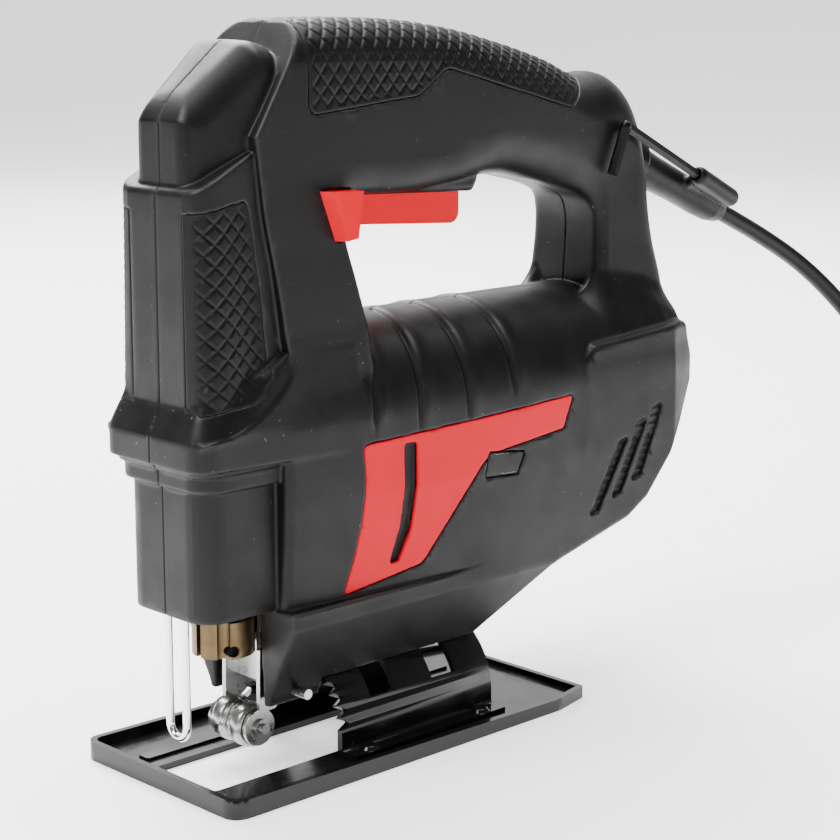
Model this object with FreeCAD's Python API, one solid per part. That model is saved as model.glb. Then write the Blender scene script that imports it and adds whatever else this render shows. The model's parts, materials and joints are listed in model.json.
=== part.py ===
import FreeCAD, Part
import math
import os

# Corded D-handle jigsaw, millimetres, +X cutting direction, +Y the user's left, +Z up.
# Everything is laid out with X = 0 at the front edge of the base plate, Y = 0 on the seam of the
# two housing shells and Z = 0 on the sole; write() then moves it so that the origin is under the
# middle of the tool.

V = FreeCAD.Vector
X_AXIS, Y_AXIS, Z_AXIS = V(1, 0, 0), V(0, 1, 0), V(0, 0, 1)

# ---- driving dimensions -------------------------------------------------------------------
BASE_LENGTH = 145.0
BASE_WIDTH = 70.0
BASE_SHEET = 2.0
RIM_FRONT, RIM_REAR = 5.6, 3.6          # height of the base's rim at its two ends
WINDOW = (-104.0, -7.0, -9.5, 17.0)     # opening in the base: x from, x to, y from, y to

TILT_Z = 8.0                            # height of the bevel axis over the sole
ARCH_R = 22.5                           # outer radius of the bevel bracket
ARCH_SHEET = 2.0
ARCH_X = (-112.0, -50.0)
SLOT_X = ((-73.0, -63.0), (-98.0, -88.0))
SLOT_HALF_ANGLE = 66.0

WALL = 2.8                              # housing wall
INLAY = 1.6                             # depth of the panels and grips let into the housing
GAP = 0.3                               # clearance beside anything that moves
FIT = 0.05                              # clearance of bearings and shafts

MOTOR_Z = 97.0
GEAR_MODULE = 0.8
PINION_TEETH, GEAR_TEETH = 8, 48
GEAR_X = (-54.0, -46.0)
CRANK_R = 9.0                           # half the stroke
PLUNGER_X = -25.0
PLUNGER_R = 4.0
REST_ABOVE_MID = 5.0                    # the plunger rests this far above mid stroke
CLAMP_R = 9.0
CLAMP_Z = (35.0, 45.5)

ROLLER_X, ROLLER_Z, ROLLER_R = -31.0, 12.5, 6.5
FORK_Y = (7.0, 8.5)
PIN_X, PIN_Z = -39.0, 23.5              # pin that ties the skirt's cheeks and holds the fork

GUARD_WIRE_X, GUARD_WIRE_Y = -8.4, 3.8  # the finger guard's two wire legs
TRIGGER_X = (-113.0, -63.5)
TRIGGER_HALF = 6.5
TRIGGER_TOP = 171.0

GUARD_START = V(-196.0, 0, 165.7)       # where the cord guard leaves the housing
GUARD_SLOPE = 22.5                      # degrees down from level
GUARD_LENGTH = 55.0
CORD_R = 3.0
KEY_R = 1.73                            # circumradius of the 3 mm hexagon key
KEY_START = V(-176.0, 18.0, 177.8)      # corner of the L, beside the housing
KEY_DIRECTION = V(-1, -0.15, -0.414)
KEY_LEGS = (66.0, 16.0)
HOLDER_SPAN = (48.0, 76.0)              # the key holder's ends, along the key

FLOOR_CORD_Z = 3.3
COIL_CENTRE = V(-355, 40, 0)
COIL_TURN_R = (27.0, 39.0)              # centre lines of the innermost and outermost turns
COIL_Z = (1.2, 20.2)
PLUG_X = (-343.0, -309.0)
PLUG_Y, PLUG_Z = 60.0, 27.5

GEAR_Z = MOTOR_Z - GEAR_MODULE * (PINION_TEETH + GEAR_TEETH) / 2
MID_YOKE_Z = GEAR_Z
YOKE_Z = MID_YOKE_Z + REST_ABOVE_MID


# ---- helpers ------------------------------------------------------------------------------
def box(x0, x1, y0, y1, z0, z1):
    return Part.makeBox(x1 - x0, y1 - y0, z1 - z0, V(x0, y0, z0))


def rod(start, direction, radius, length):
    return Part.makeCylinder(radius, length, start, direction)


def rod_y(x, z, radius, y0, y1):
    return rod(V(x, y0, z), Y_AXIS, radius, y1 - y0)


def rod_x(y, z, radius, x0, x1):
    return rod(V(x0, y, z), X_AXIS, radius, x1 - x0)


def rod_z(x, y, radius, z0, z1):
    return rod(V(x, y, z0), Z_AXIS, radius, z1 - z0)


def fuse(shapes):
    shapes = list(shapes)
    return shapes[0].multiFuse(shapes[1:]) if len(shapes) > 1 else shapes[0]


def mirror_y(shape):
    return shape.mirror(V(0, 0, 0), Y_AXIS)


def both_sides(shape):
    return [shape, mirror_y(shape)]


def outline(corners, to_3d):
    """Closed wire through (a, b) or (a, b, radius) corners, each corner rounded by its radius."""
    edges, count = [], len(corners)
    ends = []
    for i, corner in enumerate(corners):
        here = V(corner[0], corner[1], 0)
        before = V(corners[i - 1][0], corners[i - 1][1], 0)
        after = V(corners[(i + 1) % count][0], corners[(i + 1) % count][1], 0)
        radius = corner[2] if len(corner) > 2 else 0
        if not radius:
            ends.append((here, None, here))
            continue
        back, ahead = (before - here).normalize(), (after - here).normalize()
        half = math.acos(max(-1, min(1, back.dot(ahead)))) / 2
        reach = radius / math.tan(half)
        centre = here + (back + ahead).normalize() * (radius / math.sin(half))
        middle = centre + (here - centre).normalize() * radius
        ends.append((here + back * reach, middle, here + ahead * reach))
    for i, (start, middle, finish) in enumerate(ends):
        if middle is not None:
            edges.append(Part.Arc(to_3d(start), to_3d(middle), to_3d(finish)).toShape())
        following = ends[(i + 1) % count][0]
        if (following - finish).Length > 1e-6:
            edges.append(Part.LineSegment(to_3d(finish), to_3d(following)).toShape())
    return Part.Wire(edges)


def side_prism(corners, y0, y1):
    """A shape outlined in side view, (x, z), and extruded across Y."""
    face = Part.Face(outline(corners, lambda p: V(p.x, y0, p.y)))
    return face.extrude(V(0, y1 - y0, 0))


def front_prism(corners, x0, x1):
    """A shape outlined in front view, (y, z), and extruded along X."""
    face = Part.Face(outline(corners, lambda p: V(x0, p.x, p.y)))
    return face.extrude(V(x1 - x0, 0, 0))


def plan_prism(corners, z0, z1):
    """A shape outlined from above, (x, y), and extruded up."""
    face = Part.Face(outline(corners, lambda p: V(p.x, p.y, z0)))
    return face.extrude(V(0, 0, z1 - z0))


def slab_section(x, z0, z1, half, radius):
    corners = [(-half, z0, radius), (half, z0, radius), (half, z1, radius), (-half, z1, radius)]
    return outline(corners, lambda p: V(x, p.x, p.y))


def level_section(z, x0, x1, half, radius):
    corners = [(x0, -half, radius), (x1, -half, radius), (x1, half, radius), (x0, half, radius)]
    return outline(corners, lambda p: V(p.x, p.y, z))


def symmetric(points):
    """Corners of one side, given with y > 0 from one end to the other, closed by their mirror."""
    return points + [(p[0], -p[1]) + tuple(p[2:]) for p in reversed(points)]


def sector(r0, r1, half_angle, x0, x1):
    """Part of a tube about the bevel axis, centred on straight up."""
    profile = Part.Face(outline([(r0, x0), (r1, x0), (r1, x1), (r0, x1)],
                                lambda p: V(p.y, 0, TILT_Z + p.x)))
    profile.rotate(V(0, 0, TILT_Z), X_AXIS, -half_angle)
    return profile.revolve(V(0, 0, TILT_Z), X_AXIS, 2 * half_angle)


def turned(profile, start, direction):
    """Solid of revolution: (distance along the axis, radius) corners about start + direction."""
    corners = [(profile[0][0], 0)] + list(profile) + [(profile[-1][0], 0)]
    face = Part.Face(outline(corners, lambda p: V(p.y, 0, p.x)))
    solid = face.revolve(V(0, 0, 0), Z_AXIS, 360)
    solid.Placement = FreeCAD.Placement(start, FreeCAD.Rotation(Z_AXIS, direction))
    return solid


def gear(teeth, module, x0, x1, y, z, phase=0.0):
    """Straight-flanked spur gear along X; phase is the angle of the first tooth's middle."""
    pitch = teeth * module / 2
    root, tip = pitch - 1.2 * module, pitch + 0.95 * module
    step = 2 * math.pi / teeth
    corners = []
    for i in range(teeth):
        middle = phase + i * step
        for radius, offset in ((root, -0.33), (tip, -0.13), (tip, 0.13), (root, 0.33)):
            angle = middle + offset * step
            corners.append((y + radius * math.cos(angle), z + radius * math.sin(angle)))
    return front_prism(corners, x0, x1)


# ---- housing form -------------------------------------------------------------------------
# The outside of the closed housing. inset moves every surface inward, which gives the inside of
# the wall, the floors of the let-in panels and the outline of the bulkheads.
def handle_form(inset):
    stations = [(-24, 150, 212.3, 19.0, 12), (-60, 163.4, 212.6, 19.0, 12),
                (-84, 163.2, 212.0, 18.5, 12), (-116, 165.6, 208.0, 18.0, 12),
                (-151, 158.6, 199.4, 17.0, 12), (-171, 152.0, 192.8, 15.5, 11),
                (-184, 150.0, 191.2, 14.5, 10), (-194.5 + inset, 152.0, 182.0, 12.0, 8)]
    return Part.makeLoft([slab_section(x, z0 + inset, z1 - inset, half - inset, r - inset)
                          for x, z0, z1, half, r in stations], True, True)


def front_post_form(inset):
    stations = [(58, -66, -30, 25.0, 4), (100, -66, -30, 23.8, 5), (128, -66.5, -29.5, 21.0, 7),
                (150, -61, -27.5, 19.5, 8), (180, -60, -25.5, 19.0, 8)]
    return Part.makeLoft([level_section(z, x0 + inset, x1 - inset, half - inset, r - inset)
                          for z, x0, x1, half, r in stations], True, True)


def rear_post_form(inset):
    stations = [(98, -202, -160, 19.0, 9), (126, -203, -166, 16.5, 9), (140, -199, -168, 15.5, 10),
                (154, -196.2, -167.5, 15.0, 10), (166, -195.5, -164, 15.0, 10),
                (180, -194, -160, 14.0, 9)]
    return Part.makeLoft([level_section(z, x0 + inset, x1 - inset, half - inset, r - inset)
                          for z, x0, x1, half, r in stations], True, True)


def barrel_form(inset):
    """Motor and gear body: barrel top, flat sides that draw in towards the bottom."""
    axis_z = MOTOR_Z + 2
    stations = [(-30 - inset, 23.5), (-62, 25.8), (-105, 28.6), (-120, 29.0), (-190, 29.0),
                (-204.5 + inset, 24.0)]
    wires = []
    for x, half in stations:
        side, foot = half - inset, half - 2.6 - inset
        corners = [(-foot, 44 + inset), (foot, 44 + inset), (side, axis_z - 20)]
        path = [V(x, y, z) for y, z in corners]
        edges = [Part.LineSegment(path[0], path[1]).toShape(),
                 Part.LineSegment(path[1], path[2]).toShape(),
                 Part.LineSegment(path[2], V(x, side, axis_z)).toShape(),
                 Part.Arc(V(x, side, axis_z), V(x, 0, axis_z + side), V(x, -side, axis_z)).toShape(),
                 Part.LineSegment(V(x, -side, axis_z), V(x, -side, axis_z - 20)).toShape(),
                 Part.LineSegment(V(x, -side, axis_z - 20), path[0]).toShape()]
        wires.append(Part.Wire(edges))
    loft = Part.makeLoft(wires, True, True)
    side_view = [(-30, 44), (-30, 130), (-172, 130), (-200, 117), (-204.5, 103), (-204.5, 94),
                 (-190, 71), (-180, 58.5), (-171, 53), (-137, 44)]
    limit = Part.Face(outline(side_view, lambda p: V(p.x, -40, p.y)))
    if inset:
        limit = limit.makeOffset2D(-inset)
    return loft.common(limit.extrude(V(0, 80, 0)))


def plan_form(corners, inset, z0, z1):
    face = Part.Face(outline(symmetric(corners), lambda p: V(p.x, p.y, z0)))
    if inset:
        face = face.makeOffset2D(-inset)
    return face.extrude(V(0, 0, z1 - z0))


def head_form(inset):
    lower = plan_form([(-48, 18), (-4.2, 18, 12)], inset, 49, 95)
    collar = plan_form([(-48, 21.5), (-0.8, 21.5, 13)], inset, 93.5 + inset, 102)
    shoulder = Part.makeLoft([level_section(z, x0 + inset, x1 - inset, half - inset, 9)
                              for z, x0, x1, half in ((101.9, -48, -0.8, 21.5),
                                                      (110, -48, -3.6, 17.4))], True)
    column = plan_form([(-48, 17.2), (-20, 17.2, 14), (-3.3, 12.0, 3)], inset, 95, 180)
    ledge = side_prism([(-60, 60), (-2, 60), (-2, 167 - inset), (-26, 178.5 - inset),
                        (-60, 178.5 - inset)], -30, 30)
    return [lower, collar, shoulder, column.common(ledge)]


def dome_form(inset):
    plan = plan_form([(-60, 15.2), (-28, 15.2, 16), (-7, 10.5, 5)], inset, 150, 215)
    side = side_prism([(-60, 150), (-7 - inset, 150), (-7 - inset, 187.5 - inset, 4),
                       (-33, 207.5 - inset, 8), (-60, 209 - inset)], -30, 30)
    return plan.common(side)


def skirt_form():
    front = front_prism([(-26.2, 48), (-26.2, 45), (-14.2, 22.5), (-13.2, 19.5), (13.2, 19.5),
                         (14.2, 22.5), (26.2, 45), (26.2, 48)], -140, -29)
    side = side_prism([(-29, 50), (-30.5, 19.5), (-104, 19.5), (-139, 46), (-139, 50)], -30, 30)
    block = front.common(side)
    seat = rod_x(0, TILT_Z, ARCH_R + GAP, ARCH_X[0] - 1, ARCH_X[1] + 0.6)
    return block.cut(seat)


def nose_cut():
    """Everything in front of the sloping face behind the dome."""
    return side_prism([(-24, 181), (-43, 212.4), (-43, 230), (20, 230), (20, 181)], -40, 40)


def housing_form(inset):
    solids = [handle_form(inset).cut(nose_cut()), front_post_form(inset), rear_post_form(inset),
              barrel_form(inset), dome_form(inset)] + head_form(inset)
    if inset < WALL:
        solids.append(skirt_form())
    return fuse(solids).removeSplitter()


OUTSIDE = housing_form(0)
INSIDE = housing_form(WALL)


LAYER = OUTSIDE.cut(housing_form(INLAY))   # the outer skin that panels and grips are let into


# ---- housing shells and what is let into them ------------------------------------------------
SCREWS_XZ = ((-40, 176), (-126, 179), (-180, 140), (-187, 84), (-40, 120), (-12.5, 62), (-120, 60))
SCREW_HEAD_Y = -10.0

PANEL = [(-56.8, 94.1), (-57.6, 84), (-56.6, 72), (-54.2, 61), (-50.7, 50.6), (-80, 55.3),
         (-103.7, 84.5), (-136.7, 88), (-141, 98)]
PANEL_SLOT = [(-71.7, 92.6), (-76.6, 92.4), (-76.8, 80), (-75.2, 67), (-71, 57.6), (-67, 57),
              (-70.6, 68), (-71.9, 80)]
LABEL = [(-104.4, 85.4), (-119.8, 83.6), (-116.5, 76.8), (-102.7, 77.6)]
HANDLE_GRIP = [(-46, 240), (-43, 206, 8), (-43.2, 186.6, 3), (-85, 190.5, 4), (-97, 198, 5),
               (-152, 184.4, 3), (-157, 188, 3), (-164, 194, 2), (-166, 240)]
FRONT_GRIP = [(-4.4, 162), (-22, 165, 2), (-26, 140, 30), (-28, 118, 6), (-21, 110.5, 6),
              (-4.4, 108.5)]
REAR_VENTS = (((-165.0, 79.4), (-149.1, 57.9)), ((-173.5, 84.3), (-159.8, 61.5)),
              ((-181.0, 88.3), (-170.0, 65.1)))
VENT_WIDTH = 3.8
LOCK_OUTER = [(-48.6, 166), (-59, 165.6), (-57, 152.5), (-53, 152)]
LOCK_INNER = [(-44.4, 166), (-59, 165.6), (-57, 152.5), (-49.8, 151.6)]
LOCK_Y = (15.0, 23.4)


def vent_prism(start, end):
    along = V(end[0] - start[0], end[1] - start[1], 0).normalize()
    side = V(-along.y, along.x, 0) * (VENT_WIDTH / 2)
    corners = [(start[0] + side.x, start[1] + side.y, 1), (end[0] + side.x, end[1] + side.y, 1),
               (end[0] - side.x, end[1] - side.y, 1), (start[0] - side.x, start[1] - side.y, 1)]
    return side_prism(corners, 12, 40)


def on_guard_axis(shape):
    """Move a shape built on -X, outward from the origin, onto the cord guard's axis."""
    shape.rotate(V(0, 0, 0), Y_AXIS, -GUARD_SLOPE)
    shape.translate(GUARD_START)
    return shape


def guard_point(distance):
    slope = math.radians(GUARD_SLOPE)
    return GUARD_START + V(-math.cos(slope), 0, -math.sin(slope)) * distance


def guard_rod(s0, s1, radius):
    return rod(guard_point(s0), guard_point(1) - guard_point(0), radius, s1 - s0)


def lock_prism(grow):
    wires = []
    for corners, y in ((LOCK_INNER, LOCK_Y[0]), (LOCK_OUTER, LOCK_Y[1])):
        face = Part.Face(outline(corners, lambda p: V(p.x, y, p.y)))
        if grow:
            face = face.makeOffset2D(grow)
        wires.append(face.OuterWire)
    return Part.makeLoft(wires, True, True)


def lock_pocket():
    """Room for the lock button, and for its travel behind the wall."""
    inner = Part.Face(outline(LOCK_INNER, lambda p: V(p.x, LOCK_Y[0], p.y))).makeOffset2D(0.35)
    return lock_prism(0.35).fuse(inner.extrude(V(0, -4.0, 0)))


def housing_shells():
    hood = side_prism([(-61, 172), (-61, 163.4), (-113.4, 161.4), (-114.4, 172)], -13.5, 13.5)
    shell = OUTSIDE.fuse(hood).cut(INSIDE)
    ribs = [box(-174, -168, -30, 30, 60, 126),
            box(-94, -92, -30, 30, 46, 126), box(-132, -130, -30, 30, 46, 126),
            box(-40, -5, -22, 22, 97, 105), box(-40, -5, -22, 22, 51, 56.5),
            on_guard_axis(box(9, 17, -14, 14, -9, -0.2))]
    bosses = [rod_y(x, z, 4.6, -40, 40) for x, z in SCREWS_XZ]
    filled = [rib.common(INSIDE) for rib in ribs] + [boss.common(OUTSIDE) for boss in bosses]
    shell = shell.multiFuse(filled)
    holes = [rod_x(0, MOTOR_Z, 8 + FIT, -174.1, -167.9), rod_x(0, MOTOR_Z, 23.5 + FIT, -135, -88),
             rod_z(PLUNGER_X, 0, 7.5, 96, 106), rod_z(PLUNGER_X, 0, 7.5, 50, 57),
             box(-47.5, -20, -11, 11, 10, 50),
             fuse(both_sides(rod_z(GUARD_WIRE_X, GUARD_WIRE_Y, 1.2, 40, 57))),
             box(TRIGGER_X[0] - 0.6, TRIGGER_X[1] + 0.6, -TRIGGER_HALF - 0.6, TRIGGER_HALF + 0.6,
                 148, 178),
             guard_rod(-30, 4, 5.6 + FIT), guard_rod(-6.1, -2.9, 7.4 + FIT),
             rod_y(PIN_X, PIN_Z, 1.5, -30, 30), lock_pocket()]
    holes += [rod_y(x, z, 3.7, -40, SCREW_HEAD_Y) for x, z in SCREWS_XZ]
    holes += [rod_y(x, z, 1.5, SCREW_HEAD_Y - 1, 12) for x, z in SCREWS_XZ]
    holes += [rod_z((x0 + x1) / 2, 0, 2.5, 25, 45) for x0, x1 in SLOT_X]
    for prism in [side_prism(PANEL_SLOT, 12, 40)] + [vent_prism(a, b) for a, b in REAR_VENTS]:
        holes += both_sides(prism)
    holes += [on_guard_axis(rod_z(13, y, r, a, b)) for y in (-6.8, 6.8)
              for r, a, b in ((1.3, -6, 6), (2.3, 6, 7.8))]
    shell = shell.cut(fuse(inlay_prisms()).common(LAYER)).cut(fuse(holes))
    left = shell.common(box(-260, 20, 0, 60, 0, 240))
    right = shell.common(box(-260, 20, -60, 0, 0, 240))
    return {"housing_left": left, "housing_right": right}


def inlay_prisms():
    left = [side_prism(PANEL, 12, 40), side_prism(LABEL, 12, 40),
            side_prism(HANDLE_GRIP, 2.5, 40), side_prism(FRONT_GRIP, 11.4, 40)]
    return left + [mirror_y(prism) for prism in left]


def inlays():
    names = ("side_panel", "label", "handle_grip", "front_grip")
    nodes = {}
    for i, prism in enumerate(inlay_prisms()):
        piece = prism.common(LAYER)
        side = "left" if i < len(names) else "right"
        name = names[i % len(names)]
        if name == "side_panel":
            gaps = side_prism(PANEL_SLOT, 12, 40).fuse(side_prism(LABEL, 12, 40))
            piece = piece.cut(gaps if side == "left" else mirror_y(gaps))
        nodes[name + "_" + side] = piece
    nodes["label_plates"] = Part.makeCompound([nodes.pop("label_left"), nodes.pop("label_right")])
    return nodes


def housing_screws():
    solids = []
    for x, z in SCREWS_XZ:
        head = rod_y(x, z, 3.2, SCREW_HEAD_Y - 2.6, SCREW_HEAD_Y)
        cross = fuse([box(x - 1.8, x + 1.8, SCREW_HEAD_Y - 3, SCREW_HEAD_Y - 1.2, z - 0.4, z + 0.4),
                      box(x - 0.4, x + 0.4, SCREW_HEAD_Y - 3, SCREW_HEAD_Y - 1.2, z - 1.8, z + 1.8)])
        shank = rod_y(x, z, 1.45, SCREW_HEAD_Y, 11)
        solids.append(head.fuse(shank).cut(cross))
    return Part.makeCompound(solids)


# ---- handle: switch, trigger, lock button, mains entry ------------------------------------------
def handle_parts():
    trigger = side_prism([(TRIGGER_X[1], TRIGGER_TOP), (TRIGGER_X[1], 154.4, 2),
                          (TRIGGER_X[0], 151.2, 3.5), (TRIGGER_X[0], TRIGGER_TOP)],
                         -TRIGGER_HALF, TRIGGER_HALF)
    switch = box(-108, -70, -8.5, 8.5, 177, 199)
    terminals = [box(x, x + 6, -0.4, 0.4, 198, 203) for x in (-104, -80)]
    spring = rod_z(-90, 0, 3.0, TRIGGER_TOP, 177).cut(rod_z(-90, 0, 2.2, TRIGGER_TOP - 1, 178))
    button = lock_prism(0).fuse(box(-56, -50.5, 7, 16, 156, 163))
    tail = guard_rod(-20, GUARD_LENGTH, CORD_R)
    bar = on_guard_axis(box(10, 16, -9.5, 9.5, 1.5, 6)).cut(guard_rod(-30, 0, CORD_R))
    screws = []
    for y in (-6.8, 6.8):
        screw = on_guard_axis(rod_z(13, y, 1.3, -6, 6).fuse(rod_z(13, y, 2.3, 6, 7.8)))
        screws.append(screw)
    bar = bar.cut(fuse(screws))
    return {"trigger": trigger, "switch_body": fuse([switch] + terminals),
            "trigger_spring": spring, "lock_button": button,
            "capacitor": box(-166, -148, -7, 7, 166, 182), "cord_tail": tail,
            "cord_clamp_bar": bar, "cord_clamp_screws": Part.makeCompound(screws)}


def cord_guard():
    outward = guard_point(1) - guard_point(0)
    collar = turned([(0.2, 8.6, 1), (4.6, 8.0, 2), (6.4, 6.4, 1), (44, 5.2, 4), (GUARD_LENGTH, 4.3, 1)],
                    GUARD_START, outward).cut(OUTSIDE)
    neck = guard_rod(-6, 1.5, 5.6)
    flange = guard_rod(-6, -3, 7.4)
    along = V(KEY_DIRECTION).normalize()
    start = KEY_START + along * HOLDER_SPAN[0]
    holder = turned([(0, 3.4, 0.6), (HOLDER_SPAN[1] - HOLDER_SPAN[0], 3.4, 2.4)], start, along)
    webs = []
    for i in range(6):
        foot = guard_point(29 + 4 * i)
        top = start + along * (4 + 4 * i)
        webs.append(rod(foot, top - foot, 2.2, (top - foot).Length))
    key_hole = rod(start - along, along, KEY_R + FIT, KEY_LEGS[0] - HOLDER_SPAN[0] + 1.5)
    bore = guard_rod(-8, GUARD_LENGTH + 1, CORD_R)
    return fuse([collar, neck, flange, holder] + webs).cut(fuse([bore, key_hole]))


def hex_key():
    along = V(KEY_DIRECTION).normalize()

    def hexagon(start, direction, length):
        ring = [V(KEY_R * math.cos(math.radians(60 * i)), KEY_R * math.sin(math.radians(60 * i)), 0)
                for i in range(6)]
        face = Part.Face(Part.makePolygon(ring + ring[:1]))
        bar = face.extrude(V(0, 0, length))
        bar.Placement = FreeCAD.Placement(start, FreeCAD.Rotation(Z_AXIS, direction))
        return bar
    long_leg = hexagon(KEY_START, along, KEY_LEGS[0])
    short_leg = hexagon(KEY_START, V(-along.z, 0, along.x).normalize(), KEY_LEGS[1])
    return fuse([long_leg, short_leg, Part.makeSphere(KEY_R, KEY_START)])


# ---- motor -------------------------------------------------------------------------------------
def motor_parts():
    z = MOTOR_Z
    shaft = rod_x(0, z, 3.0, -177, GEAR_X[0] - 1)
    pinion = gear(PINION_TEETH, GEAR_MODULE, GEAR_X[0] - 1, GEAR_X[1] + 0.5, 0, z,
                  -math.pi / 2 + math.pi / PINION_TEETH)
    core = rod_x(0, z, 15.5, -132, -94)
    slots = []
    for i in range(12):
        slot = box(-133, -93, -0.9, 0.9, z + 11, z + 16)
        slot.rotate(V(0, 0, z), X_AXIS, 30 * i)
        slots.append(slot)
    core = core.cut(fuse(slots)).cut(rod_x(0, z, 3.0, -140, -80))
    windings = [turned([(0, 10, 1), (2, 14.4, 3), (8, 12.5, 3), (10, 8, 1)], V(x, 0, z), V(d, 0, 0))
                for x, d in ((-132, -1), (-94, 1))]
    windings = [winding.cut(rod_x(0, z, 3.0, -150, -80)) for winding in windings]
    commutator = rod_x(0, z, 10.0, -160, -144).cut(rod_x(0, z, 3.0, -161, -143))
    grooves = []
    for i in range(24):
        groove = box(-159, -146, -0.25, 0.25, z + 9, z + 11)
        groove.rotate(V(0, 0, z), X_AXIS, 15 * i)
        grooves.append(groove)
    commutator = commutator.cut(fuse(grooves))
    hub = rod_x(0, z, 7.0, -82, -73)
    disc = rod_x(0, z, 22.0, -83, -81.6)
    blades = []
    for i in range(12):
        blade = box(-82, -74, -0.6, 0.6, z + 6, z + 21.5)
        blade.rotate(V(0, 0, z), X_AXIS, 30 * i)
        blades.append(blade)
    fan = fuse([hub, disc] + blades).cut(rod_x(0, z, 3.0, -84, -72))

    stator = rod_x(0, z, 23.5, -134, -92).cut(rod_x(0, z, 16.0, -135, -91))
    windows = both_sides(box(-135, -91, 14.5, 19, z - 7, z + 7))
    stator = stator.cut(fuse(windows))
    coils = []
    for x0, x1 in ((-141, -134.1), (-91.9, -85.5)):
        ring = rod_x(0, z, 21.5, x0, x1).cut(rod_x(0, z, 17.0, x0 - 1, x1 + 1))
        coils += [ring.common(box(-145, -80, -30, 30, z + 4, z + 30)),
                  ring.common(box(-145, -80, -30, 30, z - 30, z - 4))]
    holders, brushes, springs = [], [], []
    for side in (1, -1):
        def at(y0, y1):
            return (y0, y1) if side > 0 else (-y1, -y0)
        holders.append(box(-157.5, -146.5, *at(11.5, 23), z - 5, z + 5)
                       .cut(box(-155.1, -148.9, *at(10, 22), z - 3.1, z + 3.1)))
        brushes.append(box(-155, -149, *at(10.1, 17.5), z - 3, z + 3))
        springs.append(rod_y(-152, z, 2.2, *at(17.5, 22)).cut(rod_y(-152, z, 1.5, *at(17, 23))))
    bearings = {"front_bearing": rod_x(0, z, 9.5, -70, -64).cut(rod_x(0, z, 3 + FIT, -71, -63)),
                "rear_bearing": rod_x(0, z, 8.0, -174, -168).cut(rod_x(0, z, 3 + FIT, -175, -167))}
    nodes = {"armature_shaft": shaft.fuse(pinion), "armature_core": core,
             "armature_windings": Part.makeCompound(windings), "commutator": commutator,
             "cooling_fan": fan, "stator_core": stator, "field_coils": Part.makeCompound(coils),
             "brush_holders": Part.makeCompound(holders),
             "carbon_brushes": Part.makeCompound(brushes),
             "brush_springs": Part.makeCompound(springs)}
    nodes.update(bearings)
    return nodes


# ---- gear, crank and plunger ---------------------------------------------------------------------
def drive_parts():
    plate = box(-62, -58, -30, 30, 48, 118).common(housing_form(WALL + FIT))
    seat = rod_x(0, MOTOR_Z, 12.5, -70, -61).cut(rod_x(0, MOTOR_Z, 9.5, -70.1, -64))
    plate = plate.fuse(seat).cut(rod_x(0, MOTOR_Z, 5.0, -71, -57))
    plate = plate.cut(rod_x(0, GEAR_Z, 4.0, -63, -57))
    axle = rod_x(0, GEAR_Z, 4.0, -61.9, -45).fuse(rod_x(0, GEAR_Z, 5.0, -45.8, -45))
    rim = gear(GEAR_TEETH, GEAR_MODULE, GEAR_X[0], GEAR_X[1], 0, GEAR_Z, math.pi / 2)
    crank_y = math.sqrt(CRANK_R ** 2 - REST_ABOVE_MID ** 2)
    pin_seat = rod_x(crank_y, YOKE_Z, 2.2, GEAR_X[0] + 1, -37.4)
    holes = [rod_x(0, GEAR_Z, 4.0 + FIT, -55, -45), pin_seat]
    for i in (1, 2, 3, 4):
        angle = math.atan2(REST_ABOVE_MID, crank_y) + math.radians(72 * i)
        holes.append(rod_x(11.5 * math.cos(angle), GEAR_Z + 11.5 * math.sin(angle), 3.4, -55, -45))
    wheel = rim.cut(fuse(holes))
    roller = rod_x(crank_y, YOKE_Z, 3.6, GEAR_X[1] + 0.4, -37.4)
    roller = roller.cut(rod_x(crank_y, YOKE_Z, 2.2, GEAR_X[1], -37))
    return {"gear_plate": plate, "gear_axle": axle, "drive_gear": wheel, "crank_pin": pin_seat,
            "crank_roller": roller}


def plunger_parts():
    x = PLUNGER_X
    foot_z = CLAMP_Z[0] + 4.5
    plunger = rod_z(x, 0, PLUNGER_R, foot_z, 118)
    yoke = box(-37, -31, -14.9, 14.9, YOKE_Z - 7.5, YOKE_Z + 7.5)
    yoke = yoke.cut(box(-38, -30, -12.7, 12.7, YOKE_Z - 3.75, YOKE_Z + 3.75))
    hub = rod_z(x, 0, 7.0, YOKE_Z - 6, YOKE_Z + 6)
    hub = hub.fuse(box(-31.2, x, -6, 6, YOKE_Z - 6, YOKE_Z + 6))
    yoke = yoke.fuse(hub).cut(rod_z(x, 0, PLUNGER_R, 60, 100))
    z0, z1 = CLAMP_Z
    front = x + CLAMP_R + 0.1
    groove_angle = math.radians(52)
    groove = rod_z(x + (CLAMP_R + 0.4) * math.cos(groove_angle),
                   (CLAMP_R + 0.4) * math.sin(groove_angle), 2.0, z0 - 1, z1 + 1)
    cuts = [rod_z(x, 0, PLUNGER_R, foot_z, z1 + 1), box(x - 1, front, -0.9, 0.9, z0 - 1, foot_z),
            box(x + PLUNGER_R + 0.5, front, -0.9, 0.9, foot_z - 0.1, z1 + 1), groove]
    screws = both_sides(rod_y(x + 3, z0 + 2.2, 1.65, 1.2, 7.6))
    clamp = rod_z(x, 0, CLAMP_R, z0, z1).cut(fuse(cuts + both_sides(
        rod_y(x + 3, z0 + 2.2, 1.65, 0, 10))))
    bushes = {}
    for name, low, high in (("plunger_bush_upper", 97, 105), ("plunger_bush_lower", 51, 56.5)):
        bushes[name] = rod_z(x, 0, 7.5, low, high).cut(rod_z(x, 0, PLUNGER_R + FIT, 50, 106))
    nodes = {"plunger_rod": plunger, "plunger_yoke": yoke, "blade_clamp": clamp,
             "clamp_screws": Part.makeCompound(screws)}
    nodes.update(bushes)
    return nodes


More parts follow.
